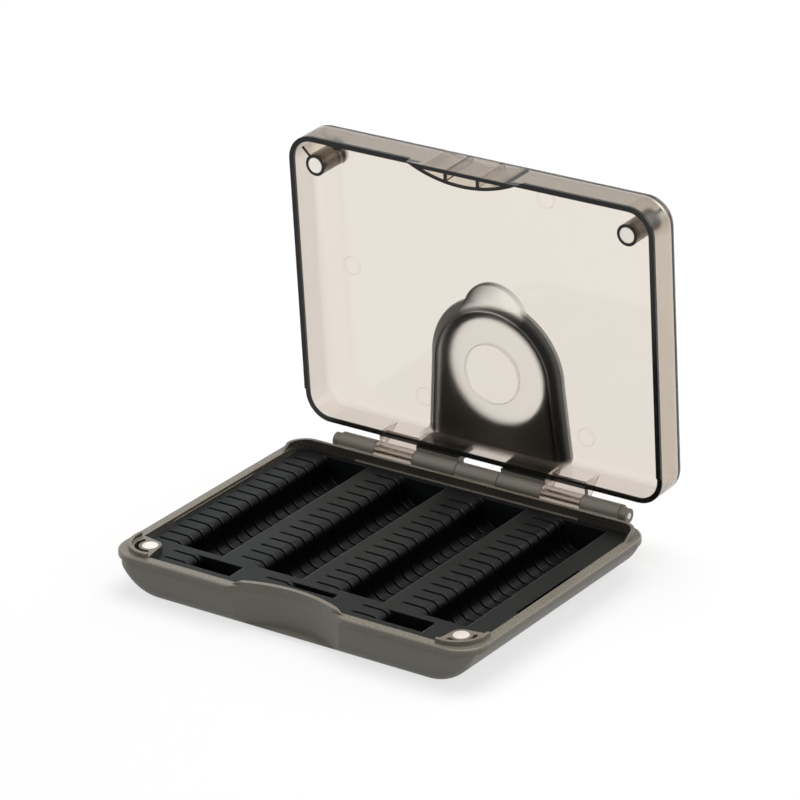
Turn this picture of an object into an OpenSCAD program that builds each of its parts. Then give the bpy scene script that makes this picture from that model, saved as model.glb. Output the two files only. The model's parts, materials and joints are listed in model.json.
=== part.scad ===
// Pocket box for fishing hooks: an opaque tray, a clear hinged lid, a hanging loop
// that turns on the same pin, magnets that hold the lid shut and a slotted rubber insert.
// Lengths are in millimetres. X runs along the hinge, Y from front to back, Z up.
// The origin is the middle of the tray's underside. The lid is drawn open, as in use.

/* [Case] */
// Width over the rim, side to side
box_width = 120; // [116:1:150]
// Depth over the rim, front to back
box_depth = 88; // [84:1:110]
// Height of the tray, underside to ledge
base_height = 12; // [11:0.5:20]
// Height of the lid, mouth to outer face
lid_height = 12.3; // [11.5:0.1:18]
// Corner radius of the rim, seen from above
corner_radius = 8; // [8:0.5:12]
// How far the lid stands open, from shut
open_angle = 88; // [60:1:95]

/* [Tray] */
// Thickness of the tray's floor
floor_thickness = 1.5; // [1:0.1:2]
// Radius of the outer bottom edge at the two sides
side_radius = 14.5; // [13:0.5:16]
// Radius of the outer bottom edge at the front and back
bottom_radius = 4; // [3:0.5:6]
// Radius of the bottom edge inside, at the front and back
inner_bottom_radius = 3; // [2:0.25:3.5]
// Width of the flat ledge that the lid sits on
ledge_width = 2.9; // [2.6:0.1:3]
// Thickness of the ledge
ledge_thickness = 1.7; // [1.2:0.1:2.5]
// How far the ledge stands out past the tray's side
ledge_overhang = 0.8; // [0.4:0.1:1]
// Radius of the ledge's rounded top edge
ledge_round = 0.7; // [0.4:0.1:0.9]
// Thickness of the raised lips on the ledge
lip_thickness = 1; // [0.8:0.1:1.2]
// Height of the front lips over the ledge
lip_height = 1.2; // [0.8:0.1:1.6]
// Height of the rear lip over the ledge
rear_lip_height = 1.8; // [1.2:0.1:2.2]
// Inner radius of the front corner lips
front_lip_radius = 7.8; // [7:0.1:8.4]
// Length of each front corner lip along the straight edge
lip_run = 1.7; // [1:0.1:3]
// Length of the rear lip along each side
rear_lip_run = 3; // [2:0.5:16]
// Length over which the raised lips run out
lip_slope = 4; // [3:0.5:6]
// Height of the ribs that hold the insert down
rib_height = 0.6; // [0.4:0.1:0.8]
// How far those ribs stand out from the wall
rib_reach = 0.7; // [0.5:0.1:0.9]
// Length of the rib on the rear wall
rear_rib_length = 75; // [50:1:90]
// Length of the ribs on the side walls
side_rib_length = 36; // [20:1:50]

/* [Thumb scoop] */
// Width of the scoop in the front wall
scoop_width = 38; // [30:1:44]
// Depth of the scoop
scoop_depth = 4.6; // [3.6:0.2:5.4]
// Thickness of the curved wall behind the scoop
scoop_wall = 1.4; // [1:0.1:1.6]
// Height of the lip left under the scoop
scoop_lip = 1.3; // [1:0.1:2]
// Radius of the upright edges at the scoop's ends
scoop_edge_radius = 4; // [2:0.5:6]

/* [Lid] */
// Thickness of the lid's walls and face
lid_wall = 1.5; // [1.2:0.1:1.6]
// Radius of the lid's outer edge
lid_edge_radius = 3; // [2:0.25:4]
// Radius of the same edge inside the lid
lid_inner_radius = 2; // [1:0.25:2.5]
// How far the mouth is cut back next to the hinge
mouth_relief = 0.5; // [0.2:0.1:0.8]
// Length of that cut back part
mouth_relief_length = 9; // [5:0.5:14]
// How far the thumb tab reaches below the mouth
tab_drop = 2.2; // [1.4:0.2:3]
// Thickness of the tab's front wall
tab_front_wall = 1.1; // [0.9:0.1:1.4]
// Thickness of the tab's curved wall
tab_arc_wall = 0.9; // [0.7:0.1:1.1]
// Distance of the tab's two ribs from the middle
tab_rib_place = 5.3; // [3:0.1:8]
// Thickness of the thin ribs on the lid
lid_rib = 0.9; // [0.7:0.1:1.2]

/* [Lid recess for the loop] */
// Depth of the recess below the lid's face
recess_depth = 3.3; // [3:0.1:3.6]
// Thickness of the recess floor
recess_wall = 1.4; // [1.1:0.1:1.6]
// Radius of the recess floor's round end
recess_radius = 18.5; // [18.3:0.1:20]
// Slope of the recess's long sides
recess_taper = 5; // [4.5:0.25:6]
// Depth of the finger dish at the round end
dish_depth = 3; // [2.5:0.1:3.2]
// Radius of the finger dish on the lid's face
dish_radius = 10.4; // [8:0.2:12]
// Distance of the dish from the lid's rear face
dish_place = 39.5; // [38:0.5:42]
// Diameter of the plain disc on the recess floor
disc_diameter = 18; // [10:1:24]
// Height of that disc
disc_height = 0.2; // [0.1:0.05:0.4]

/* [Hanging loop] */
// Thickness of the loop plate and its legs
loop_thickness = 1.7; // [1.4:0.1:1.8]
// Outer radius of the ring
loop_radius = 18.8; // [18:0.1:19]
// Radius of the round hole
loop_hole_radius = 16.1; // [12:0.1:16.5]
// Distance of the ring's centre from the lid's rear face
loop_place = 23.75; // [22:0.25:26]
// Height of the bar that joins the two legs
loop_bar = 4; // [3:0.25:6]
// Radius of the loop's outer bend
loop_bend_radius = 1.2; // [0.5:0.1:1.3]

/* [Hinge] */
// Distance of the hinge axis behind the rim
hinge_offset = 4.5; // [4.5:0.1:5.5]
// Outer diameter of the knuckles
knuckle_diameter = 5.4; // [4.6:0.1:5.6]
// Diameter of the steel pin
pin_diameter = 1.8; // [1.2:0.1:2.4]
// Half width of the tray's middle knuckle
middle_half = 7; // [5:0.2:9]
// Width of each knuckle of the loop
loop_knuckle = 14.4; // [12:0.2:14.6]
// Width of each knuckle of the lid
lid_knuckle = 12.9; // [8:0.2:14]
// Width of each outer knuckle of the tray
outer_knuckle = 14.6; // [8:0.2:16]
// Length of the thinner end on the outer knuckles
knuckle_tip = 2.4; // [1:0.2:4]
// Diameter of that thinner end
knuckle_tip_diameter = 4.2; // [3.8:0.1:4.6]
// Length of the lid's fins along its rear wall
fin_length = 8; // [5:0.5:9]
// Thickness of those fins
fin_thickness = 0.8; // [0.6:0.1:1.2]

/* [Magnets] */
// Diameter of the magnets
magnet_diameter = 4.5; // [4:0.25:5.25]
// Thickness of the magnets
magnet_thickness = 2; // [1:0.25:3]
// Wall around each magnet
boss_wall = 0.9; // [0.8:0.1:1.1]
// Distance of each magnet's centre from the two rims
magnet_inset = 8.6; // [8.4:0.1:9]
// How far the tray's magnets stand over the ledge
magnet_rise = 0.3; // [0:0.1:0.5]
// Thickness of the webs between boss and lip
web_thickness = 0.9; // [0.7:0.1:1.2]
// Width of the pit that runs round the outer side of each boss
pit_width = 1.2; // [0.8:0.1:1.3]
// Depth of that pit
pit_depth = 3; // [1:0.5:5]

/* [Insert] */
// Depth of the insert's top below the ledge
insert_drop = 1.3; // [1.1:0.1:2]
// Spacing of the long troughs
trough_pitch = 26.8; // [25.5:0.1:27]
// Width of a trough
trough_width = 14; // [12:0.25:14.5]
// Thickness of rubber under a trough
trough_skin = 0.9; // [0.8:0.1:3]
// Radius of the shoulder that the hooks bend over
shoulder_radius = 2.4; // [1:0.1:2.6]
// Radius in the bottom of a trough
valley_radius = 4; // [2:0.25:4.5]
// Width of the land right of the last trough
right_land = 8.9; // [8.7:0.1:10]
// Width of the land behind the troughs
rear_land = 1.4; // [1.2:0.1:3]
// Depth of the strip in front of the troughs
front_strip = 12.9; // [12:0.1:15]
// Width of the land between troughs and front pits
front_land = 2.5; // [2:0.1:3]
// Length of the two outer front pits, front to back
pit_length = 6.3; // [4:0.1:6.4]
// Length of the middle front pit
middle_pit_length = 2.4; // [1.5:0.1:2.8]
// Length of the notch in the insert's right edge
notch_length = 30; // [20:1:40]
// Width of that notch, from the tray's wall
notch_reach = 2.5; // [2:0.1:3]
// Depth of that notch
notch_depth = 1.5; // [0.5:0.1:2]
// Spacing of the front pits
pit_pitch = 31.6; // [29:0.1:32]
// Distance of the last pit's right edge from the wall
pit_right = 17.1; // [16:0.1:20]

/* [Slits] */
// Width of a slit
slit_width = 0.8; // [0.6:0.05:1]
// Depth of a slit in the land
slit_depth = 2.4; // [1.5:0.1:2.6]
// How far a slit goes into the trough's wall
slit_bite = 2; // [1:0.1:3]
// Spacing of the slits
slit_pitch = 4.4; // [3.6:0.1:6]
// How far a slit runs into the land, from the trough's right edge
slit_reach = 22.8; // [20:0.1:23]
// How far short of the trough's right edge a slit stops
slit_stop = 5; // [3:0.5:8]
// How deep a slit goes into the trough's floor
slit_sink = 0.3; // [0.1:0.1:0.4]
// Distance of the first slit from the trough's front
slit_first = 0.9; // [0.6:0.1:2]
// Least distance of the last slit from the trough's rear
slit_margin = 2.6; // [1.5:0.1:4]

/* [Fits] */
// Gap between the shut lid and the ledge
seat_gap = 0.15; // [0.1:0.05:0.3]
// Gap between the thumb tab and the scoop wall
tab_gap = 0.3; // [0.2:0.05:0.5]
// Gap between neighbouring knuckles
knuckle_gap = 0.2; // [0.15:0.05:0.3]
// Gap between the loop and the lid's rear wall
loop_gap = 0.25; // [0.15:0.05:0.35]
// Gap round the pin where it turns, per side
pin_run_gap = 0.08; // [0.05:0.01:0.1]
// Gap round the pin where it is held, per side
pin_hold_gap = 0.02; // [0.01:0.01:0.04]
// Gap round a magnet in its pocket, per side
magnet_gap = 0.05; // [0.02:0.01:0.1]
// Gap between the magnets when the lid is shut
magnet_air = 0.3; // [0.2:0.05:0.5]
// Gap round the insert, per side
insert_gap = 0.2; // [0.1:0.05:0.3]

/* [Hidden] */
$fn = 96;
// Overrun of every cut past the surface that it opens
cut_over = 1;
// Slope of the recess's sides, and the ring that a slope of 45 degrees adds per wall
slope_share = 1;
slope_gain = sqrt(2) - 1;
// How far a flat lies inside the curve that it joins, so that the two cross cleanly
flank_inset = 0.06;
edge_bite = 0.03;
// Flats that make up the S at a lip's end
slope_steps = 12;

base_colour = [0.36, 0.35, 0.32];
lid_colour = [0.62, 0.58, 0.53, 0.4];
rubber_colour = [0.06, 0.06, 0.065];
steel_colour = [0.75, 0.75, 0.74];
nickel_colour = [0.85, 0.84, 0.81];

// The hinge axis, and the shut lid's mouth and face
hinge_y = box_depth / 2 + hinge_offset;
hinge_z = base_height + seat_gap / 2;
mouth_z = base_height + seat_gap;
face_z = mouth_z + lid_height;
knuckle_radius = knuckle_diameter / 2;

// Knuckles along the pin, outwards from the middle
loop_start = middle_half + knuckle_gap;
loop_end = loop_start + loop_knuckle;
lid_start = loop_end + knuckle_gap;
lid_end = lid_start + lid_knuckle;
outer_start = lid_end + knuckle_gap;
outer_end = outer_start + outer_knuckle;

// The tray's hollow
cavity_width = box_width - 2 * ledge_width;
cavity_depth = box_depth - 2 * ledge_width;
cavity_radius = corner_radius - ledge_width;
cavity_side_radius = side_radius - floor_thickness;
lip_offset = ledge_width - lip_thickness;

// The scoop is an arc of a circle that stands in front of the case
scoop_radius = (pow(scoop_width / 2, 2) + pow(scoop_depth, 2)) / (2 * scoop_depth);
scoop_y = scoop_depth - box_depth / 2 - scoop_radius;
scoop_edge_y = scoop_edge_radius - edge_bite - box_depth / 2;
scoop_edge_reach = scoop_radius + scoop_edge_radius - edge_bite;
scoop_edge_x = sqrt(pow(scoop_edge_reach, 2) - pow(scoop_edge_y - scoop_y, 2));
scoop_edge = [scoop_edge_x, scoop_edge_y];

// The magnets and their bosses
boss_radius = magnet_diameter / 2 + boss_wall;
magnet_x = box_width / 2 - magnet_inset;
magnet_y = magnet_inset - box_depth / 2;
boss_top = base_height + magnet_rise;
post_end = boss_top + magnet_air;
// Centre and ends of the front corner lips, and where the webs meet the boss
lip_middle = ledge_width - lip_thickness / 2;
arc_x = cavity_width / 2 - front_lip_radius + flank_inset;
arc_y = front_lip_radius - flank_inset - cavity_depth / 2;
front_end = [arc_x - lip_run, lip_middle - box_depth / 2];
side_end = [box_width / 2 - lip_middle, arc_y + lip_run];
web_radius = boss_radius - web_thickness / 2 - flank_inset;

// The lid's recess and the loop, measured from the lid's rear face
loop_y = box_depth / 2 - loop_place;
recess_floor_z = face_z - recess_depth;
dish_sphere = (pow(dish_radius, 2) + pow(dish_depth, 2)) / (2 * dish_depth);
dish_y = box_depth / 2 - dish_place;
dish_z = face_z - dish_depth + dish_sphere;
leg_inner_y = box_depth / 2 + loop_gap;
leg_outer_y = leg_inner_y + loop_thickness;
loop_corner = [loop_end, leg_outer_y];
loop_run = norm(loop_corner - [0, loop_y]);
loop_angle = atan2(leg_outer_y - loop_y, loop_end) - acos(loop_radius / loop_run);
loop_tangent = [loop_radius * cos(loop_angle), loop_y + loop_radius * sin(loop_angle)];

// The insert
insert_top = base_height - insert_drop;
insert_bottom = floor_thickness + insert_gap;
insert_width = cavity_width - 2 * insert_gap;
insert_depth = cavity_depth - 2 * insert_gap;
insert_side_radius = cavity_side_radius - insert_gap;
trough_floor = insert_bottom + trough_skin;
trough_depth = insert_top - trough_floor;
trough_front = front_strip - cavity_depth / 2;
trough_rear = cavity_depth / 2 - rear_land;
trough_length = trough_rear - trough_front;
trough_count = 4;
last_edge = cavity_width / 2 - right_land;
pit_rear = trough_front - front_land;
pit_count = 3;
last_pit_edge = cavity_width / 2 - pit_right;

module round_rect(w, d, r) {
    square([w - 2 * r, d], center = true);
    square([w, d - 2 * r], center = true);
    for (x = [-1, 1], y = [-1, 1]) {
        translate([x * (w / 2 - r), y * (d / 2 - r)]) circle(r);
    }
}

// Section of a bowl: a rectangle whose two lower corners are round
module bowl_section(w, h, f) {
    intersection() {
        translate([-w / 2, 0]) square([w, h]);
        union() {
            translate([f - w / 2, 0]) square([w - 2 * f, h]);
            translate([-w / 2, f]) square([w, h]);
            for (x = [-1, 1]) translate([x * (w / 2 - f), f]) circle(f);
        }
    }
}

// A solid bowl: round corners from above, and a round lower edge all the way round
module bowl(w, d, h, r, f) {
    for (x = [-1, 1], y = [-1, 1]) {
        translate([x * (w / 2 - r), y * (d / 2 - r), 0]) {
            rotate_extrude() {
                intersection() {
                    bowl_section(2 * r, h, f);
                    square([r, h]);
                }
            }
        }
    }
    rotate([90, 0, 90]) linear_extrude(w - 2 * r, center = true) bowl_section(d, h, f);
    rotate([90, 0, 0]) linear_extrude(d - 2 * r, center = true) bowl_section(w, h, f);
}

// A round bar along Y whose ends have round edges
module rounded_drum(d, r, f) {
    rotate([90, 0, 0]) rotate_extrude() {
        intersection() {
            round_rect(2 * r, d, f);
            translate([0, -d / 2]) square([r, d]);
        }
    }
}

// A solid bowl whose two sides curve in with a larger radius than its front and back
module wide_bowl(w, d, h, r, side, f) {
    intersection() {
        linear_extrude(h) round_rect(w, d, r);
        union() {
            for (x = [-1, 1]) translate([x * (w / 2 - side), 0, side]) rounded_drum(d, side, f);
            rotate([90, 0, 90]) linear_extrude(w - 2 * side, center = true) {
                bowl_section(d, 2 * side, f);
            }
            translate([0, 0, side]) linear_extrude(h) round_rect(w, d, r);
        }
    }
}

// The tray's body, up to a given height
module tray_body(h) {
    wide_bowl(box_width - 2 * ledge_overhang, box_depth - 2 * ledge_overhang, h,
        corner_radius - ledge_overhang, side_radius, bottom_radius);
}

// A flat bar between two points
module bar(p, q, t) {
    translate(p) rotate(atan2(q[1] - p[1], q[0] - p[0])) {
        translate([0, -t / 2]) square([norm(q - p), t]);
    }
}

// A cylinder along X, between two places
module barrel(x0, x1, r) {
    translate([x0, hinge_y, hinge_z]) rotate([0, 90, 0]) cylinder(h = x1 - x0, r = r);
}

// Children on the right and, mirrored, on the left
module both_sides() {
    children();
    mirror([1, 0, 0]) children();
}

// Turns the shut lid's pieces to where they stand with the lid open
module opened() {
    translate([0, hinge_y, hinge_z]) rotate([-open_angle, 0, 0]) {
        translate([0, -hinge_y, -hinge_z]) children();
    }
}

module scoop_disc(r) {
    translate([0, scoop_y]) circle(r);
}

// The line from a lip's end that touches the boss, and the place at radius r below its far end
function touch_angle(p) = acos(web_radius / norm(p - [magnet_x, magnet_y]));
function end_angle(p) = atan2(p[1] - magnet_y, p[0] - magnet_x);
function touch_point(p, side, r) = [
    magnet_x + r * cos(end_angle(p) + side * touch_angle(p)),
    magnet_y + r * sin(end_angle(p) + side * touch_angle(p))
];
corner_point = [box_width / 2 - corner_radius, corner_radius - box_depth / 2];
corner_reach = (corner_radius - lip_middle) / sqrt(2);

module webs(t) {
    bar(front_end, touch_point(front_end, -1, web_radius), t);
    bar(side_end, touch_point(side_end, 1, web_radius), t);
}

// The corner between the webs, the boss and the rim; its edges lie inside the webs
module boss_corner() {
    inset = web_thickness / 4;
    polygon([
        front_end + [inset, 0],
        touch_point(front_end, -1, web_radius - inset),
        [magnet_x, magnet_y],
        touch_point(side_end, 1, web_radius - inset),
        side_end - [0, inset],
        [box_width / 2, side_end[1] - inset],
        [box_width / 2, -box_depth / 2],
        [front_end[0] + inset, -box_depth / 2]
    ]);
}

// Side view of a lip of height h on the ledge: it rises from nothing in an S, then runs on
module run_out(h, far) {
    polygon(concat(
        [[far, h], [far, -ledge_thickness], [0, -ledge_thickness]],
        [for (i = [0:1:slope_steps]) [
            lip_slope * i / slope_steps,
            h * (1 - cos(180 * i / slope_steps)) / 2
        ]]
    ));
}

module lip_ring() {
    difference() {
        round_rect(box_width - 2 * lip_offset, box_depth - 2 * lip_offset, corner_radius - lip_offset);
        round_rect(cavity_width, cavity_depth, cavity_radius);
    }
}

// The raised lips: two front corners, the scoop's top edge and the rear wall
module front_lips() {
    both_sides() {
        intersection() {
            difference() {
                translate([arc_x, arc_y]) circle(front_lip_radius + lip_thickness);
                translate([arc_x, arc_y]) circle(front_lip_radius);
            }
            translate([arc_x - flank_inset, -box_depth / 2]) {
                square([box_width / 2, arc_y + flank_inset + box_depth / 2]);
            }
        }
        translate([front_end[0], lip_offset - box_depth / 2]) square([lip_run, lip_thickness]);
        translate([cavity_width / 2, arc_y]) square([lip_thickness, lip_run]);
    }
}

// The wider ledge outside the front corner lips
module corner_ledge() {
    difference() {
        translate([arc_x, -box_depth / 2]) square([box_width / 2 - arc_x, arc_y + box_depth / 2]);
        translate([arc_x, arc_y]) circle(front_lip_radius);
    }
}

module scoop_lip_shape() {
    intersection() {
        difference() {
            scoop_disc(scoop_radius + scoop_wall);
            scoop_disc(scoop_radius);
        }
        translate([-box_width / 2, lip_offset - box_depth / 2]) square([box_width, box_depth / 2]);
    }
}

// The scoop's cut, with its two upright edges rounded
module scoop_cut() {
    scoop_disc(scoop_radius);
    both_sides() {
        difference() {
            polygon([
                scoop_edge,
                scoop_edge + (scoop_edge_radius + cut_over) * ([0, scoop_y] - scoop_edge) / scoop_edge_reach,
                [scoop_edge_x, -box_depth / 2 - cut_over]
            ]);
            translate(scoop_edge) circle(scoop_edge_radius);
        }
    }
}

module rear_lip_shape() {
    intersection() {
        lip_ring();
        translate([-box_width / 2, box_depth / 2 - corner_radius - rear_lip_run]) {
            square([box_width, corner_radius + rear_lip_run]);
        }
    }
}

// The crescent shaped pit outside a boss
module boss_pit() {
    translate([magnet_x, magnet_y]) rotate(-45) {
        difference() {
            circle(boss_radius + pit_width);
            circle(boss_radius);
            translate([-2 * boss_radius, -2 * boss_radius]) {
                square([2 * boss_radius + web_thickness, 4 * boss_radius]);
            }
        }
    }
}

// The tray's hollow, without the scoop's wall, the bosses and the corners behind them
module tray_hollow() {
    difference() {
        translate([0, 0, floor_thickness]) {
            wide_bowl(cavity_width, cavity_depth, base_height, cavity_radius, cavity_side_radius,
                inner_bottom_radius);
        }
        linear_extrude(2 * base_height) scoop_disc(scoop_radius + scoop_wall);
        both_sides() {
            translate([magnet_x, magnet_y, 0]) cylinder(h = 2 * base_height, r = boss_radius);
            linear_extrude(2 * base_height) webs(web_thickness);
            linear_extrude(2 * base_height) boss_corner();
            linear_extrude(2 * base_height) corner_ledge();
        }
    }
}

module tray_shell() {
    difference() {
        union() {
            tray_body(base_height);
            translate([0, 0, base_height]) mirror([0, 0, 1]) {
                bowl(box_width, box_depth, ledge_thickness, corner_radius, ledge_round);
            }
        }
        tray_hollow();
    }
    // The bosses, their webs and the corners behind them stand a little over the ledge
    both_sides() translate([0, 0, base_height - ledge_thickness]) {
        translate([magnet_x, magnet_y, 0]) cylinder(h = ledge_thickness + magnet_rise, r = boss_radius);
        linear_extrude(ledge_thickness + magnet_rise) webs(web_thickness);
        linear_extrude(ledge_thickness + magnet_rise) {
            intersection() {
                boss_corner();
                translate([arc_x, arc_y]) circle(front_lip_radius + lip_thickness / 2);
            }
        }
    }
}

// The raised lips; the scoop's lip and the rear lip run out at their ends
module tray_lips() {
    lip_foot = base_height - ledge_thickness;
    translate([0, 0, lip_foot]) linear_extrude(ledge_thickness + lip_height) front_lips();
    intersection() {
        translate([0, 0, lip_foot]) linear_extrude(ledge_thickness + lip_height) scoop_lip_shape();
        both_sides() {
            translate([scoop_width / 2, 0, base_height]) rotate([90, 0, 0]) {
                linear_extrude(box_depth) mirror([1, 0, 0]) run_out(lip_height, scoop_width / 2 + cut_over);
            }
        }
    }
    intersection() {
        translate([0, 0, lip_foot]) linear_extrude(ledge_thickness + rear_lip_height) rear_lip_shape();
        translate([0, box_depth / 2 - corner_radius - rear_lip_run, base_height]) {
            rotate([90, 0, 90]) {
                linear_extrude(box_width, center = true) run_out(rear_lip_height, box_depth);
            }
        }
    }
}

module tray_ribs() {
    translate([0, 0, insert_top]) {
        linear_extrude(rib_height) {
            translate([-rear_rib_length / 2, cavity_depth / 2 - rib_reach]) {
                square([rear_rib_length, rib_reach + lip_thickness]);
            }
            both_sides() {
                translate([cavity_width / 2 - rib_reach, -side_rib_length / 2]) {
                    square([rib_reach + lip_thickness, side_rib_length]);
                }
            }
        }
    }
}

// A block that ties a tray knuckle to the rim
module tray_arm(x0, x1) {
    translate([x0, box_depth / 2 - ledge_width, hinge_z - knuckle_radius]) {
        cube([x1 - x0, ledge_width + hinge_offset, base_height - hinge_z + knuckle_radius]);
    }
}

module base_tray() {
    color(base_colour) {
        difference() {
            union() {
                tray_shell();
                tray_ribs();
                tray_lips();
                tray_arm(-middle_half, middle_half);
                barrel(-middle_half, middle_half, knuckle_radius);
                both_sides() {
                    tray_arm(outer_start, outer_end - knuckle_tip);
                    barrel(outer_start, outer_end - knuckle_tip, knuckle_radius);
                    barrel(outer_start, outer_end, knuckle_tip_diameter / 2);
                }
            }
            translate([0, 0, scoop_lip]) linear_extrude(base_height + lip_height) scoop_cut();
            both_sides() {
                translate([magnet_x, magnet_y, boss_top - magnet_thickness]) {
                    cylinder(h = magnet_thickness + cut_over, r = magnet_diameter / 2 + magnet_gap);
                }
                translate([0, 0, boss_top - pit_depth]) linear_extrude(pit_depth + cut_over) boss_pit();
            }
            barrel(-outer_end - cut_over, outer_end + cut_over, pin_diameter / 2 + pin_hold_gap);
        }
    }
}

// A shape with 45 degree sides that follows the recess: r is its floor radius.
// The flat sides lie a hair inside the round end, so that they cross it cleanly.
module recess_form(r, h) {
    flank = r - flank_inset;
    translate([0, loop_y, 0]) {
        cylinder(h = h, r1 = r, r2 = r + h * slope_share);
        both_sides() {
            rotate(-recess_taper) {
                rotate([90, 0, 180]) {
                    linear_extrude(box_depth / 2) {
                        polygon([[r / 2, 0], [-flank, 0], [-flank - h * slope_share, h], [r / 2, h]]);
                    }
                }
            }
        }
    }
}

module lid_outer() {
    translate([0, 0, face_z]) mirror([0, 0, 1]) {
        bowl(box_width, box_depth, lid_height, corner_radius, lid_edge_radius);
    }
}

module lid_inner() {
    translate([0, 0, face_z - lid_wall]) mirror([0, 0, 1]) {
        bowl(box_width - 2 * lid_wall, box_depth - 2 * lid_wall, lid_height,
            corner_radius - lid_wall, lid_inner_radius);
    }
}

// The thumb tab seen from above: a round backed shape that fits the scoop
module tab_shape(r, front) {
    intersection() {
        scoop_disc(r);
        translate([-scoop_width, front - box_depth / 2]) square([2 * scoop_width, scoop_width]);
    }
}

module lid_shell() {
    difference() {
        union() {
            difference() {
                lid_outer();
                lid_inner();
            }
            // Thickening behind the recess, the dish, the magnets and the tab
            intersection() {
                lid_outer();
                union() {
                    translate([0, 0, recess_floor_z - recess_wall]) {
                        recess_form(recess_radius + recess_wall * slope_gain, recess_depth + recess_wall);
                    }
                    translate([0, dish_y, dish_z]) sphere(dish_sphere + recess_wall);
                    translate([0, 0, mouth_z]) {
                        linear_extrude(lid_height) tab_shape(scoop_radius - tab_gap, 0);
                    }
                    both_sides() {
                        translate([magnet_x, magnet_y, post_end]) {
                            cylinder(h = face_z - post_end, r = boss_radius);
                        }
                        translate([0, 0, base_height + lip_height + seat_gap]) {
                            linear_extrude(lid_height) {
                                bar([magnet_x, magnet_y],
                                    corner_point + [corner_reach, -corner_reach], lid_rib);
                            }
                        }
                    }
                }
            }
            translate([0, 0, mouth_z - tab_drop]) {
                linear_extrude(tab_drop + lid_wall) tab_shape(scoop_radius - tab_gap, 0);
            }
        }
        translate([0, 0, mouth_z - tab_drop - cut_over]) {
            linear_extrude(tab_drop + cut_over + lid_height - lid_wall) {
                tab_shape(scoop_radius - tab_gap - tab_arc_wall, tab_front_wall);
            }
        }
        // The recess with its dish, open through the rear wall
        translate([0, 0, recess_floor_z]) recess_form(recess_radius, recess_depth + cut_over);
        translate([0, dish_y, dish_z]) sphere(dish_sphere);
        translate([-box_width, box_depth / 2 - mouth_relief_length, mouth_z - cut_over]) {
            cube([2 * box_width, box_depth, cut_over + mouth_relief]);
        }
        both_sides() {
            translate([magnet_x, magnet_y, post_end - cut_over]) {
                cylinder(h = cut_over + magnet_thickness, r = magnet_diameter / 2 + magnet_gap);
            }
        }
    }
}

module tab_ribs() {
    intersection() {
        translate([0, 0, mouth_z - tab_drop]) {
            linear_extrude(tab_drop + lid_height - lid_wall) {
                tab_shape(scoop_radius - tab_gap, tab_front_wall / 2);
            }
        }
        both_sides() {
            translate([tab_rib_place - lid_rib / 2, -box_depth / 2, 0]) {
                cube([lid_rib, scoop_depth, face_z]);
            }
        }
    }
}

// Clear arms and fins that carry the lid's knuckles
module lid_arms() {
    arm_z = mouth_z + mouth_relief;
    wall_y = box_depth / 2 - lid_wall / 2;
    translate([lid_start, wall_y, arm_z]) {
        cube([lid_knuckle, hinge_y - wall_y, hinge_z + knuckle_radius - arm_z]);
    }
    barrel(lid_start, lid_end, knuckle_radius);
    for (x = [lid_start, lid_end - fin_thickness]) {
        translate([x, 0, 0]) rotate([90, 0, 90]) linear_extrude(fin_thickness) {
            polygon([
                [wall_y, arm_z],
                [hinge_y, arm_z],
                [hinge_y, hinge_z + knuckle_radius],
                [box_depth / 2, arm_z + fin_length],
                [wall_y, arm_z + fin_length]
            ]);
        }
    }
}

module lid() {
    color(lid_colour) opened() {
        difference() {
            union() {
                lid_shell();
                tab_ribs();
                both_sides() lid_arms();
                translate([0, loop_y, recess_floor_z - recess_wall / 2]) {
                    cylinder(h = recess_wall / 2 + disc_height, d = disc_diameter);
                }
            }
            both_sides() {
                barrel(lid_start - cut_over, lid_end + cut_over, pin_diameter / 2 + pin_run_gap);
            }
        }
    }
}

module loop_outline() {
    difference() {
        union() {
            translate([0, loop_y]) circle(loop_radius);
            polygon([
                [-loop_end, leg_outer_y],
                [loop_end, leg_outer_y],
                loop_tangent,
                [-loop_tangent[0], loop_tangent[1]]
            ]);
        }
        translate([0, loop_y]) circle(loop_hole_radius);
    }
}

// Section of the loop's legs: the bend's outer corner is round
module leg_section(h) {
    intersection() {
        translate([leg_inner_y, face_z - h]) square([loop_thickness, h]);
        union() {
            translate([leg_inner_y, face_z - h]) square([loop_thickness, h - loop_bend_radius]);
            translate([leg_inner_y, face_z - h]) square([loop_thickness - loop_bend_radius, h]);
            translate([leg_outer_y - loop_bend_radius, face_z - loop_bend_radius]) circle(loop_bend_radius);
        }
    }
}

module hanging_loop() {
    color(base_colour) opened() {
        difference() {
            union() {
                difference() {
                    translate([0, 0, face_z - loop_thickness]) linear_extrude(loop_thickness) loop_outline();
                    translate([0, leg_outer_y - loop_bend_radius + box_width / 2, face_z]) {
                        cube(box_width, center = true);
                    }
                }
                rotate([90, 0, 90]) linear_extrude(2 * loop_end, center = true) leg_section(loop_bar);
                both_sides() {
                    translate([loop_start, 0, 0]) rotate([90, 0, 90]) {
                        linear_extrude(loop_knuckle) leg_section(face_z - hinge_z);
                    }
                    translate([loop_start, leg_inner_y, hinge_z]) {
                        cube([loop_knuckle, hinge_y - leg_inner_y, knuckle_radius]);
                    }
                    barrel(loop_start, loop_end, knuckle_radius);
                }
            }
            both_sides() {
                barrel(loop_start - cut_over, loop_end + cut_over, pin_diameter / 2 + pin_run_gap);
            }
        }
    }
}

module hinge_pin() {
    color(steel_colour) barrel(-outer_end, outer_end, pin_diameter / 2);
}

module magnet() {
    cylinder(h = magnet_thickness, d = magnet_diameter);
}

module base_magnet(side) {
    color(nickel_colour) translate([side * magnet_x, magnet_y, boss_top - magnet_thickness]) magnet();
}

module lid_magnet(side) {
    color(nickel_colour) opened() translate([side * magnet_x, magnet_y, post_end]) magnet();
}

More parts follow.
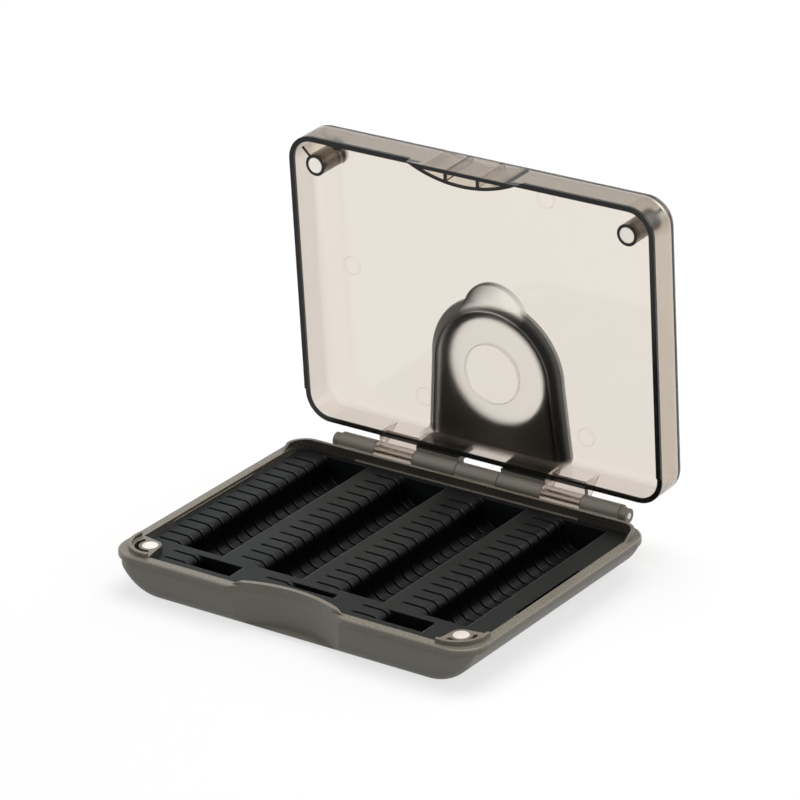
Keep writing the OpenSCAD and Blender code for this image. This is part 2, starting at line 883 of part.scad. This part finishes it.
// Section of a trough from its right edge: shoulder, wall, round valley and floor
module trough_section() {
    translate([valley_radius - trough_width, -trough_depth]) {
        square([trough_width - valley_radius, trough_depth + cut_over]);
    }
    translate([-trough_width, valley_radius - trough_depth]) {
        square([trough_width, trough_depth - valley_radius + cut_over]);
    }
    intersection() {
        translate([valley_radius - trough_width, valley_radius - trough_depth]) circle(valley_radius);
        translate([-trough_width, -trough_depth]) square([trough_width, trough_depth]);
    }
    difference() {
        translate([-trough_width - shoulder_radius, -shoulder_radius]) {
            square([shoulder_radius + valley_radius / 2, shoulder_radius + cut_over]);
        }
        translate([-trough_width - shoulder_radius, -shoulder_radius]) circle(shoulder_radius);
        translate([-trough_width - 2 * shoulder_radius, -2 * shoulder_radius]) {
            square([shoulder_radius, 2 * shoulder_radius]);
        }
    }
}

// A trough between two places along Y
module trough(edge, front, rear) {
    translate([edge, rear, insert_top]) rotate([90, 0, 0]) linear_extrude(rear - front) trough_section();
}

// Section of a slit: it runs over the land and the shoulder and down the trough's wall
module slit_section() {
    intersection() {
        translate([-slit_bite, -slit_sink]) trough_section();
        translate([-slit_reach, -base_height]) square([slit_reach - slit_stop, 2 * base_height]);
    }
    translate([slit_width / 2 - slit_reach, -slit_depth]) {
        square([slit_reach - trough_width - slit_width / 2, slit_depth + cut_over]);
    }
}

// Slits across a shoulder, from the first place backwards, each with a round end
module slits(edge, first, count) {
    for (i = [0:1:count - 1]) translate([edge, first + i * slit_pitch, insert_top]) {
        translate([0, slit_width / 2, 0]) rotate([90, 0, 0]) linear_extrude(slit_width) slit_section();
        translate([slit_width / 2 - slit_reach, 0, -slit_depth]) {
            cylinder(h = slit_depth + cut_over, r = slit_width / 2);
        }
    }
}

module hook_insert() {
    color(rubber_colour) difference() {
        translate([0, 0, insert_bottom]) {
            wide_bowl(insert_width, insert_depth, insert_top - insert_bottom,
                cavity_radius - insert_gap, insert_side_radius, inner_bottom_radius - insert_gap);
        }
        linear_extrude(base_height) scoop_disc(scoop_radius + scoop_wall + insert_gap);
        both_sides() {
            translate([magnet_x, magnet_y, 0]) cylinder(h = base_height, r = boss_radius + insert_gap);
            linear_extrude(base_height) webs(web_thickness + 2 * insert_gap);
            linear_extrude(base_height) boss_corner();
        }
        translate([cavity_width / 2 - notch_reach, -notch_length / 2, insert_top - notch_depth]) {
            cube([notch_reach, notch_length, notch_depth + cut_over]);
        }
        for (k = [0:1:trough_count - 1]) {
            edge = last_edge - k * trough_pitch;
            first = slit_first + (k % 2 == 0 ? slit_pitch / 2 : 0);
            count = floor((trough_length - first - slit_margin) / slit_pitch) + 1;
            trough(edge, trough_front, trough_rear);
            slits(edge, trough_front + first, count);
        }
        for (k = [0:1:pit_count - 1]) {
            edge = last_pit_edge - k * pit_pitch;
            length = k == 1 ? middle_pit_length : pit_length;
            trough(edge, pit_rear - length, pit_rear);
            slits(edge, pit_rear - slit_first - slit_width / 2, 1);
            if (k != 1) slits(edge, pit_rear - slit_first - slit_width / 2 - slit_pitch, 1);
        }
    }
}

base_tray();
lid();
hanging_loop();
hinge_pin();
hook_insert();
base_magnet(-1);  // base_magnet_left
base_magnet(1);  // base_magnet_right
lid_magnet(-1);  // lid_magnet_left
lid_magnet(1);  // lid_magnet_right
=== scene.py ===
"""Looks of the pocket hook box: its materials, a pale floor, soft light and the photograph's camera."""

import json
import math

import bpy
from mathutils import Matrix, Vector

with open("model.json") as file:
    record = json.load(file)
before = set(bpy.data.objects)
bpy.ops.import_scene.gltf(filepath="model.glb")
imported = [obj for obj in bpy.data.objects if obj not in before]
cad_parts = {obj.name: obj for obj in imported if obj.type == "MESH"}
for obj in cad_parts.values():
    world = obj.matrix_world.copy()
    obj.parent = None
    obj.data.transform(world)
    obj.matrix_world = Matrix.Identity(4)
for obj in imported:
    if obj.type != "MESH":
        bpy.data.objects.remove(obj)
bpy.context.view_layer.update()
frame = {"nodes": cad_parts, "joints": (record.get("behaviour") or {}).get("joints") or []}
nodes = frame["nodes"]

# Real sizes, in metres
MM = 0.001

# The camera solved from the photograph: angles in degrees, focal length and centre in its pixels
PHOTO_SIDE = 800
CAMERA_AZIMUTH = 36.40
CAMERA_ELEVATION = 23.47
CAMERA_ROLL_RADIANS = -0.0370
CAMERA_TARGET = (0, 0, 60 * MM)
CAMERA_DISTANCE = 1211.5 * MM
FOCAL_PX = 4527.7
CENTRE_PX = (373.39, 378.88)
SENSOR_WIDTH = 36
CLIP_START, CLIP_END = 0.01, 20

# The hinge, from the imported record
hinge = next(j for j in frame["joints"] if j["name"] == "lid_hinge")
HINGE = Vector(hinge["pos_m"])
OPEN_ANGLE = math.radians(hinge["range_deg"][1])

# The lid's recess as the part's source has it, measured with the lid shut
LID_HEIGHT = 12.3 * MM
RECESS_DEPTH = 3.3 * MM
RECESS_RADIUS = 18.5 * MM
RECESS_REACH = RECESS_RADIUS + RECESS_DEPTH
RECESS_CENTRE_Y = 20.25 * MM
RECESS_TAPER = math.radians(5)
DISH_CENTRE_Y = 4.5 * MM
DISH_RADIUS = 10.4 * MM
DISC_RADIUS = 9 * MM
MOUTH_Z = 12.15 * MM
FACE_Z = MOUTH_Z + LID_HEIGHT
LOOP_THICKNESS = 1.7 * MM
LEG_INNER_Y = 44.25 * MM

# The case's rim and corners, the magnets' tubes on the lid, and the tray's ledge and hollow
HALF_WIDTH = 60 * MM
HALF_DEPTH = 44 * MM
CORNER_RADIUS = 8 * MM
WALL_SKIN = 2 * MM
TUBE_X = 51.4 * MM
TUBE_Y = -35.4 * MM
TUBE_RADIUS = 3.15 * MM
TAB_CENTRE_Y = -80.94 * MM
TAB_RADIUS = 41.24 * MM
TAB_DROP = 2.2 * MM
RIM_Z = 10.3 * MM
LEDGE_Z = 12 * MM
LEDGE_WIDTH = 2.9 * MM
INSERT_TOP = 10.7 * MM

# Round marks that the mould's ejector pins leave on the lid's face, in mm: across, back, radius
EJECTOR_MARKS = [
    (-48.8, -1.3, 2.7), (18.5, -35.3, 2.7), (-26.0, 34.4, 2.7), (28.7, 34.3, 2.7), (-16.0, 38.0, 1.9),
]

# Colours
OLIVE_DARK = (0.196, 0.184, 0.157)
OLIVE_LIGHT = (0.228, 0.214, 0.184)
OLIVE_RIM = (0.180, 0.160, 0.126)
# Painted shade for the tray's inward faces and the faces behind its rear lip
OLIVE_PAINTED_SHADE = (0.055, 0.049, 0.038)
# Painted shade for the loop's faces against the lid
OLIVE_PAINTED_SHADE_AGAINST_LID = (0.020, 0.019, 0.016)
RUBBER_DARK = (0.0038, 0.0042, 0.0044)
RUBBER_LIGHT = (0.0078, 0.0084, 0.0088)
# Painted highlight for the insert's edges
RUBBER_PAINTED_HIGHLIGHT = (0.230, 0.240, 0.245)
# Painted shade for the insert's troughs' walls
RUBBER_PAINTED_SHADE = (0.0012, 0.0013, 0.0014)
RUBBER_SHINE = (0.86, 0.97, 1.0)
STEEL = (0.62, 0.61, 0.59)
NICKEL = (0.86, 0.81, 0.75)
CLEAR_FACE = (0.955, 0.915, 0.845)
CLEAR_SHADED = (0.030, 0.028, 0.024)
# Painted shade for the lid's side walls, its front wall and round the magnets
CLEAR_WALL_SHADE = (0.86, 0.80, 0.74)
CLEAR_FRONT_SHADE = (0.60, 0.56, 0.51)
CLEAR_TUBE_SHADE = (0.30, 0.26, 0.21)
CLEAR_SHINE = (0.4, 0.4, 0.4)
CLEAR_SHADOW = (0.78, 0.75, 0.70)
# Painted shade for the lid's mouth edge
MOUTH_PAINTED_SHADE = (0.012, 0.013, 0.013)
SMOKE = (0.7075, 0.6675, 0.64)
FLOOR_GREY = (0.29, 0.29, 0.29)
WHITE = (1, 1, 1)

# Roughness: least and most over the noise, and what polish takes away or frost and grain add
NOISE_SPREAD = (0.3, 0.7)
ROUGH_MOULDED = (0.42, 0.52)
ROUGH_RUBBER = (0.38, 0.48)
ROUGH_CLEAR = (0.015, 0.05)
RIM_POLISH = 0.20
FROST_ROUGHNESS = 0.36
WALL_GRAIN_ROUGHNESS = 0.16
DISC_FROST_SHARE = 0.1
METAL_SPREAD = (0.25, 0.75)
METAL_ROUGH_SHARES = (0.75, 1.3)
METAL_DARK_SHARE = 0.93

# How dark the lid's painted shades and lines get, of one, and how deep the painted shade on the insert's
# walls
FLANK_SHARE = 0.96
DISH_SHARE = 0.97
DISC_LINE_SHARE = 0.55
MARK_LINE_SHARE = 0.16
MOUTH_SHADE_SHARE = 0.95
RUBBER_PAINTED_SHADE_SHARE = 0.98
RING_CORE_SHARE = 0.4

# The clear plastic's body
CLEAR_IOR = 1.49
SMOKE_DENSITY = 420.0
RIPPLE_SHARE = 0.4
FINE_SHARE = 0.5

# Sockets of the Mix node when it mixes colours
MIX_FIRST, MIX_SECOND, MIX_RESULT = 6, 7, 2

# The pale floor and the studio
FLOOR_HALF = 6.0
FLOOR_DROP = 0.02 * MM
FLOOR_GLOW = 0.70
WORLD_ON_BOX = 0.34
WORLD_SEEN = 1.0
LAMP_TARGET = (0, 0, 40 * MM)
LAMPS = [
    # Name, place, width and height, watts
    ("top_softbox", (-0.05, 0.30, 1.15), (1.0, 0.8), 10.0),
    ("left_softbox", (-1.05, -0.35, 0.65), (0.6, 0.8), 1.6),
    ("right_softbox", (1.15, -0.10, 0.45), (0.5, 0.6), 1.8),
    ("back_softbox", (0.35, 1.20, 0.60), (1.2, 0.6), 5.0),
]


def make_camera():
    """The camera solved from the photograph."""
    azimuth, elevation = math.radians(CAMERA_AZIMUTH), math.radians(CAMERA_ELEVATION)
    back = Vector((
        math.sin(azimuth) * math.cos(elevation),
        -math.cos(azimuth) * math.cos(elevation),
        math.sin(elevation),
    ))
    level_right = Vector((math.cos(azimuth), math.sin(azimuth), 0))
    level_up = back.cross(level_right)
    right = math.cos(CAMERA_ROLL_RADIANS) * level_right + math.sin(CAMERA_ROLL_RADIANS) * level_up
    up = back.cross(right)
    data = bpy.data.cameras.new("camera")
    data.sensor_width = SENSOR_WIDTH
    data.lens = FOCAL_PX / PHOTO_SIDE * SENSOR_WIDTH
    data.shift_x = 0.5 - CENTRE_PX[0] / PHOTO_SIDE
    data.shift_y = CENTRE_PX[1] / PHOTO_SIDE - 0.5
    data.clip_start, data.clip_end = CLIP_START, CLIP_END
    camera = bpy.data.objects.new("camera", data)
    turned = Matrix((right, up, back)).transposed()
    place = Vector(CAMERA_TARGET) + back * CAMERA_DISTANCE
    camera.matrix_world = Matrix.Translation(place) @ turned.to_4x4()
    bpy.context.scene.collection.objects.link(camera)
    bpy.context.scene.camera = camera


class Tree:
    """A short way to write the nodes of a material or of the world."""

    def __init__(self, owner, output="ShaderNodeOutputMaterial"):
        owner.use_nodes = True
        self.owner = owner
        self.tree = owner.node_tree
        self.tree.nodes.clear()
        self.out = self.tree.nodes.new(output)

    def put(self, socket, value):
        if isinstance(value, bpy.types.NodeSocket):
            self.tree.links.new(value, socket)
        elif socket.type == "RGBA":
            socket.default_value = (*value, 1)
        else:
            socket.default_value = value

    def node(self, kind, **inputs):
        made = self.tree.nodes.new(kind)
        for name, value in inputs.items():
            self.put(made.inputs[name.replace("_", " ")], value)
        return made

    def fill(self, made, *values):
        """Puts the values into a node's inputs in order, and gives its output."""
        for socket, value in zip(made.inputs, values):
            self.put(socket, value)
        return made.outputs[0]

    def math(self, operation, *values):
        made = self.tree.nodes.new("ShaderNodeMath")
        made.operation = operation
        return self.fill(made, *values)

    def times(self, first, *others):
        for other in others:
            first = self.math("MULTIPLY", first, other)
        return first

    def most(self, first, *others):
        for other in others:
            first = self.math("MAXIMUM", first, other)
        return first

    def plus(self, first, second):
        return self.math("ADD", first, second)

    def less(self, first, second):
        return self.math("SUBTRACT", first, second)

    def without_sign(self, value):
        return self.math("ABSOLUTE", value)

    def length(self, a, b):
        return self.math("SQRT", self.plus(self.times(a, a), self.times(b, b)))

    def remap(self, value, low, high, out_low, out_high):
        made = self.node("ShaderNodeMapRange", Value=value)
        for name, number in zip(("From Min", "From Max", "To Min", "To Max"), (low, high, out_low, out_high)):
            self.put(made.inputs[name], number)
        return made.outputs[0]

    def rise(self, value, start, end):
        """Nought up to the start, one from the end on."""
        return self.remap(value, start, end, 0, 1)

    def fall(self, value, start, end):
        """One up to the start, nought from the end on."""
        return self.remap(value, start, end, 1, 0)

    def ring(self, distance, radius, half_width):
        """One on a thin circle round a centre, nought elsewhere."""
        off = self.without_sign(self.less(distance, radius))
        return self.fall(off, half_width * RING_CORE_SHARE, half_width)

    def split(self, vector):
        return self.node("ShaderNodeSeparateXYZ", Vector=vector).outputs

    def place(self):
        return self.node("ShaderNodeTexCoord").outputs["Object"]

    def facing(self):
        return self.node("ShaderNodeTexCoord").outputs["Normal"]

    def noise(self, scale, detail=3.0, roughness=0.5, stretch=None):
        place = self.place()
        if stretch:
            place = self.node("ShaderNodeMapping", Vector=place, Scale=stretch).outputs[0]
        made = self.node("ShaderNodeTexNoise", Vector=place, Scale=scale, Detail=detail, Roughness=roughness)
        return made.outputs["Fac"]

    def colour_mix(self, share, first, second):
        made = self.tree.nodes.new("ShaderNodeMix")
        made.data_type = "RGBA"
        self.put(made.inputs["Factor"], share)
        self.put(made.inputs[MIX_FIRST], first)
        self.put(made.inputs[MIX_SECOND], second)
        return made.outputs[MIX_RESULT]

    def bump(self, height, strength, distance, normal=None):
        made = self.node("ShaderNodeBump", Height=height, Strength=strength, Distance=distance)
        if normal:
            self.put(made.inputs["Normal"], normal)
        return made.outputs[0]

    def soft_edges(self, radius, samples=4):
        made = self.node("ShaderNodeBevel", Radius=radius)
        made.samples = samples
        return made.outputs[0]

    def principled(self, **inputs):
        return self.node("ShaderNodeBsdfPrincipled", **inputs).outputs[0]

    def shader_mix(self, share, first, second):
        return self.fill(self.tree.nodes.new("ShaderNodeMixShader"), share, first, second)

    def seen_rays(self):
        """One for the rays that show the background to the camera, straight, in metal or in glass."""
        path = self.node("ShaderNodeLightPath").outputs
        return self.most(path["Is Camera Ray"], path["Is Glossy Ray"], path["Is Transmission Ray"])

    def finish(self, surface, volume=None):
        self.tree.links.new(surface, self.out.inputs["Surface"])
        if volume:
            self.tree.links.new(volume, self.out.inputs["Volume"])
        return self.owner


def material(name):
    return Tree(bpy.data.materials.new(name))


def shut_place(t):
    """The lid's own coordinates as if it were shut: across, back from the front, and up."""
    x, y, z = t.split(t.place())
    back, up = t.less(y, HINGE.y), t.less(z, HINGE.z)
    cos, sin = math.cos(OPEN_ANGLE), math.sin(OPEN_ANGLE)
    shut_y = t.less(t.times(back, cos), t.times(up, sin))
    shut_z = t.plus(t.times(back, sin), t.times(up, cos))
    return x, t.plus(shut_y, HINGE.y), t.plus(shut_z, HINGE.z)


def moulded(t, layers, polish=None):
    """Olive grey moulded plastic with a fine spark-eroded grain; layers are masks and colours over it."""
    grain = t.noise(scale=2600, detail=2.0, roughness=0.6)
    cloud = t.noise(scale=45, detail=4.0)
    colour = t.colour_mix(cloud, OLIVE_DARK, OLIVE_LIGHT)
    for mask, over in layers:
        colour = t.colour_mix(mask, colour, over)
    rough = t.remap(grain, *NOISE_SPREAD, *ROUGH_MOULDED)
    if polish:
        rough = t.less(rough, t.times(polish, RIM_POLISH))
    normal = t.bump(grain, strength=0.22, distance=0.06 * MM, normal=t.soft_edges(0.25 * MM))
    return t.principled(Base_Color=colour, Roughness=rough, Normal=normal)


def tray_plastic():
    """The tray's plastic: warmer on the polished rim, with painted shade on the faces inside and behind the
    rear lip.
    """
    t = material("tray_plastic")
    x, y, z = t.split(t.place())
    facing_x, facing_y, _ = t.split(t.facing())
    above_rim = t.rise(z, RIM_Z - 0.15 * MM, RIM_Z + 0.05 * MM)
    before_hinge = t.fall(y, HALF_DEPTH - 0.2 * MM, HALF_DEPTH + 0.2 * MM)
    rim = t.times(above_rim, before_hinge)
    # Painted shade: the inward faces within the ledge and the faces behind the rear lip get a dark colour
    outward = t.plus(t.times(x, facing_x), t.times(y, facing_y))
    faces_in = t.fall(outward, -6 * MM, -2 * MM)
    past_side = t.less(t.without_sign(x), HALF_WIDTH - LEDGE_WIDTH)
    past_end = t.less(t.without_sign(y), HALF_DEPTH - LEDGE_WIDTH)
    within_ledge = t.fall(t.most(past_side, past_end), 0.1 * MM, 0.3 * MM)
    shaded_inside = t.times(within_ledge, faces_in)
    past_lip = t.rise(y, HALF_DEPTH - 2.0 * MM, HALF_DEPTH - 1.7 * MM)
    below_lip = t.fall(z, LEDGE_Z + 0.2 * MM, LEDGE_Z + 0.5 * MM)
    shaded_behind = t.times(past_lip, rim, below_lip)
    layers = [(rim, OLIVE_RIM), (t.most(shaded_inside, shaded_behind), OLIVE_PAINTED_SHADE)]
    return t.finish(moulded(t, layers, polish=rim))


def loop_plastic():
    """The same plastic, with painted shade: much darker on the faces that lie against the lid."""
    t = material("loop_plastic")
    _, y, z = shut_place(t)
    # Painted shade: a dark matt plastic on the faces against the lid
    inner_z = FACE_Z - LOOP_THICKNESS
    shaded_inner = t.fall(z, inner_z + 0.3 * MM, inner_z + 0.8 * MM)
    before_legs = t.fall(y, LEG_INNER_Y + 0.1 * MM, LEG_INNER_Y + 0.4 * MM)
    shaded_matt = t.principled(Base_Color=OLIVE_PAINTED_SHADE_AGAINST_LID, Roughness=0.7, Specular_IOR_Level=0.1)
    return t.finish(t.shader_mix(t.times(shaded_inner, before_legs), moulded(t, []), shaded_matt))


def insert_rubber():
    """Black rubber with a faint bloom: painted shade down the troughs' walls, painted highlights on its
    edges.
    """
    t = material("insert_rubber")
    grain = t.noise(scale=1900, detail=3.0, roughness=0.6)
    bloom = t.noise(scale=70, detail=5.0, roughness=0.6)
    across = t.split(t.facing())[0]
    height = t.split(t.place())[2]

    # Painted highlights: an edge is where the rounded normal leaves the true one, and its side is where that
    # normal points; edges turned to the light get a light colour
    soft = t.soft_edges(0.45 * MM, samples=6)
    agreement = t.node("ShaderNodeVectorMath")
    agreement.operation = "DOT_PRODUCT"
    t.fill(agreement, soft, t.node("ShaderNodeNewGeometry").outputs["Normal"])
    edge = t.rise(agreement.outputs["Value"], 0.992, 0.93)
    turned_x, turned_y, _ = t.split(soft)
    highlit_teeth = t.times(t.rise(turned_y, -0.15, -0.45), t.rise(across, 0.15, 0.45))
    highlit_lands = t.times(t.remap(turned_x, -0.15, -0.45, 0, 0.5), t.rise(across, -0.10, -0.05))
    painted_edges = t.times(edge, t.most(highlit_teeth, highlit_lands))

    colour = t.colour_mix(bloom, RUBBER_DARK, RUBBER_LIGHT)
    colour = t.colour_mix(painted_edges, colour, RUBBER_PAINTED_HIGHLIGHT)
    rough = t.remap(bloom, *NOISE_SPREAD, *ROUGH_RUBBER)
    normal = t.bump(grain, strength=0.22, distance=0.05 * MM, normal=soft)
    rubber = t.principled(
        Base_Color=colour, Roughness=rough, Normal=normal,
        Specular_IOR_Level=0.14, Specular_Tint=RUBBER_SHINE)
    # Painted shade: a dark dull rubber down the troughs' steep walls and over their shoulders
    shaded_rubber = t.principled(Base_Color=RUBBER_PAINTED_SHADE, Roughness=0.6, Specular_IOR_Level=0.02)
    shoulder = t.rise(across, 0.60, 0.95)
    down = t.fall(height, INSERT_TOP - 3.2 * MM, INSERT_TOP - 2.2 * MM)
    wall = t.times(t.rise(across, 0.50, 0.85), down)
    painted_deep_shade = t.times(t.most(shoulder, wall), RUBBER_PAINTED_SHADE_SHARE)
    return t.finish(t.shader_mix(painted_deep_shade, rubber, shaded_rubber))


def metal(name, colour, roughness, grain_scale, stretch=None):
    """Plated or drawn metal with fine marks."""
    t = material(name)
    marks = t.noise(grain_scale, detail=4.0, roughness=0.6, stretch=stretch)
    tint = t.colour_mix(marks, tuple(c * METAL_DARK_SHARE for c in colour), colour)
    rough = t.remap(marks, *METAL_SPREAD, *[roughness * share for share in METAL_ROUGH_SHARES])
    normal = t.bump(marks, strength=0.08, distance=0.03 * MM, normal=t.soft_edges(0.15 * MM))
    return t.finish(t.principled(Base_Color=tint, Metallic=1.0, Roughness=rough, Normal=normal))


def recess_looks(t, x, y, z):
    """The painted shade of the lid's recess and dish, the dark outlines of the disc and ejector marks, and
    its frosted share.
    """
    along = t.less(y, RECESS_CENTRE_Y)
    narrowed = t.less(t.without_sign(x), t.times(t.most(along, 0.0), math.tan(RECESS_TAPER)))
    from_middle = t.length(t.most(narrowed, 0.0), t.math("MINIMUM", along, 0.0))
    from_dish = t.length(x, t.less(y, DISH_CENTRE_Y))
    from_disc = t.length(x, along)
    near_face = t.rise(z, MOUTH_Z + 4.5 * MM, MOUTH_Z + 5.5 * MM)
    in_recess = t.fall(from_middle, RECESS_REACH, RECESS_REACH + 0.3 * MM)
    in_dish = t.fall(from_dish, DISH_RADIUS, DISH_RADIUS + 0.3 * MM)

    # Frost over all of it but the polished disc
    polished = t.remap(from_disc, DISC_RADIUS - 0.1 * MM, DISC_RADIUS + 0.1 * MM, DISC_FROST_SHARE, 1)
    frost = t.times(t.most(in_recess, in_dish), near_face, polished)

    # Painted shade on the recess's sloping flanks, down to its hinge end, save where the dish breaks through
    flank = t.times(
        t.rise(from_middle, RECESS_RADIUS - 2.2 * MM, RECESS_RADIUS + 0.2 * MM),
        t.remap(from_middle, RECESS_RADIUS + 1.2 * MM, RECESS_RADIUS + 2.4 * MM, 1, 0.98))
    flank = t.most(flank, t.ring(from_middle, RECESS_REACH - 0.1 * MM, 0.4 * MM))
    outside_dish = t.most(
        t.rise(from_dish, DISH_RADIUS - 1.4 * MM, DISH_RADIUS + 0.2 * MM),
        t.rise(along, -19.0 * MM, -16.5 * MM))
    flank = t.times(flank, in_recess, near_face, outside_dish, FLANK_SHARE)

    # Painted shade on the dish: darker to the left, with a line round it
    above = t.rise(from_middle, RECESS_RADIUS + 0.6 * MM, RECESS_RADIUS + 2.0 * MM)
    dish = t.times(
        t.remap(from_dish, DISH_RADIUS * 0.45, DISH_RADIUS * 0.95, 0, DISH_SHARE),
        t.fall(x, -DISH_RADIUS * 0.75, DISH_RADIUS * 0.35),
        above, in_dish, near_face)
    lines = t.times(
        t.ring(from_dish, DISH_RADIUS, 0.5 * MM), near_face,
        t.remap(x, -DISH_RADIUS * 0.2, DISH_RADIUS * 0.9, 1, 0.35), above)

    # Outlines of the disc and of the ejector marks
    lines = t.most(lines, t.times(t.ring(from_disc, DISC_RADIUS, 0.16 * MM), DISC_LINE_SHARE))
    for across, back, radius in EJECTOR_MARKS:
        from_mark = t.length(t.less(x, across * MM), t.less(y, back * MM))
        lines = t.most(lines, t.times(t.ring(from_mark, radius * MM, 0.2 * MM), MARK_LINE_SHARE))
    return t.most(flank, dish, lines), frost


def clear_plastic():
    """Clear smoke plastic: polished walls, a frosted recess for the loop, and painted shade on the mouth
    edge, the walls, round the magnets and in the recess.
    """
    t = material("clear_plastic")
    x, y, z = shut_place(t)
    shade, frost = recess_looks(t, x, y, z)
    tint = t.colour_mix(shade, CLEAR_FACE, CLEAR_SHADED)

    # Painted shade: the side walls are tinted darker, most the front one, and round the magnets
    past_x = t.less(t.without_sign(x), HALF_WIDTH - CORNER_RADIUS)
    past_y = t.less(t.without_sign(y), HALF_DEPTH - CORNER_RADIUS)
    depth = t.less(CORNER_RADIUS, t.length(t.most(past_x, 0.0), t.most(past_y, 0.0)))
    wall = t.times(
        t.fall(depth, WALL_SKIN - 0.2 * MM, WALL_SKIN),
        t.fall(z, FACE_Z - 4.0 * MM, FACE_Z - 1.5 * MM))
    front = t.rise(y, 1.2 * MM - HALF_DEPTH + CORNER_RADIUS, 5.0 * MM - HALF_DEPTH)
    tint = t.colour_mix(wall, tint, t.colour_mix(front, CLEAR_WALL_SHADE, CLEAR_FRONT_SHADE))
    from_tube = t.length(t.less(t.without_sign(x), TUBE_X), t.less(y, TUBE_Y))
    tube = t.fall(from_tube, TUBE_RADIUS + 0.1 * MM, TUBE_RADIUS + 0.3 * MM)
    tint = t.colour_mix(tube, tint, CLEAR_TUBE_SHADE)

    # Roughness: a faint haze, the recess's frost and the grain on the walls' outside
    rough = t.remap(t.noise(scale=60, detail=3.0), *NOISE_SPREAD, *ROUGH_CLEAR)
    rough = t.plus(rough, t.times(frost, FROST_ROUGHNESS))
    outer_skin = t.fall(depth, 0.4 * MM, 0.8 * MM)
    rough = t.plus(rough, t.times(wall, outer_skin, WALL_GRAIN_ROUGHNESS))
    ripple = t.times(t.noise(scale=28, detail=1.0), RIPPLE_SHARE)
    fine = t.times(t.noise(scale=2200, detail=2.0), frost, FINE_SHARE)
    glass = t.principled(
        Base_Color=tint, Roughness=rough, IOR=CLEAR_IOR, Transmission_Weight=1.0, Specular_Tint=CLEAR_SHINE,
        Normal=t.bump(t.plus(ripple, fine), strength=0.10, distance=0.2 * MM))
    shadow = t.node("ShaderNodeBsdfTransparent", Color=CLEAR_SHADOW).outputs[0]
    is_shadow = t.node("ShaderNodeLightPath").outputs["Is Shadow Ray"]
    clear = t.shader_mix(is_shadow, glass, shadow)

    # Painted shade: the mouth's edge is dark all round; where the thumb tab reaches lower, its own edge is
    from_tab = t.length(x, t.less(y, TAB_CENTRE_Y))
    past_tab = t.rise(from_tab, TAB_RADIUS + 0.05 * MM, TAB_RADIUS + 0.15 * MM)
    mouth = t.times(t.fall(z, MOUTH_Z + 0.7 * MM, MOUTH_Z + 1.0 * MM), past_tab)
    tab_z = MOUTH_Z - TAB_DROP
    tab_end = t.fall(z, tab_z + 0.3 * MM, tab_z + 0.5 * MM)
    off_knuckles = t.fall(y, HALF_DEPTH + 0.1 * MM, HALF_DEPTH + 0.3 * MM)
    painted_edges = t.times(t.most(mouth, tab_end), off_knuckles, MOUTH_SHADE_SHARE)
    painted_edge_shade = t.principled(Base_Color=MOUTH_PAINTED_SHADE, Roughness=0.2, Specular_IOR_Level=0.25)
    smoke = t.node("ShaderNodeVolumeAbsorption", Color=SMOKE, Density=SMOKE_DENSITY)
    return t.finish(t.shader_mix(painted_edges, clear, painted_edge_shade), smoke.outputs[0])


def make_floor():
    """A pale floor that stays white to the eye but keeps the box's shadow."""
    t = material("pale_floor")
    diffuse = t.node("ShaderNodeBsdfDiffuse", Color=FLOOR_GREY).outputs[0]
    glow = t.node("ShaderNodeEmission", Color=WHITE, Strength=t.times(t.seen_rays(), FLOOR_GLOW)).outputs[0]
    pale = t.finish(t.fill(t.tree.nodes.new("ShaderNodeAddShader"), diffuse, glow))
    mesh = bpy.data.meshes.new("floor")
    corners = [(i * FLOOR_HALF, j * FLOOR_HALF, 0) for i, j in ((-1, -1), (1, -1), (1, 1), (-1, 1))]
    mesh.from_pydata(corners, [], [(0, 1, 2, 3)])
    floor = bpy.data.objects.new("floor", mesh)
    floor.location.z = -FLOOR_DROP
    floor.data.materials.append(pale)
    bpy.context.scene.collection.objects.link(floor)


def make_light():
    """A world that is white to the eye but lights the box softly, and four soft lamps."""
    world = bpy.data.worlds.new("studio")
    bpy.context.scene.world = world
    t = Tree(world, "ShaderNodeOutputWorld")
    on_box, seen = (
        t.node("ShaderNodeBackground", Color=WHITE, Strength=strength).outputs[0]
        for strength in (WORLD_ON_BOX, WORLD_SEEN))
    t.finish(t.shader_mix(t.seen_rays(), on_box, seen))
    for name, place, size, power in LAMPS:
        data = bpy.data.lights.new(name, "AREA")
        data.shape = "RECTANGLE"
        data.size, data.size_y = size
        data.energy = power
        lamp = bpy.data.objects.new(name, data)
        lamp.location = place
        lamp.rotation_mode = "QUATERNION"
        lamp.rotation_quaternion = (Vector(place) - Vector(LAMP_TARGET)).to_track_quat("Z", "Y")
        bpy.context.scene.collection.objects.link(lamp)


def dress(names, looks):
    for name in names:
        for slot in nodes[name].material_slots:
            slot.material = looks


make_camera()
make_floor()
make_light()
bpy.context.scene.view_settings.view_transform = "Standard"

dress(["base_tray"], tray_plastic())
dress(["hanging_loop"], loop_plastic())
dress(["hook_insert"], insert_rubber())
dress(["hinge_pin"], metal("pin_steel", STEEL, roughness=0.28, grain_scale=900, stretch=(0.05, 1, 1)))
magnets = ["base_magnet_left", "base_magnet_right", "lid_magnet_left", "lid_magnet_right"]
dress(magnets, metal("magnet_nickel", NICKEL, roughness=0.34, grain_scale=260))
dress(["lid"], clear_plastic())
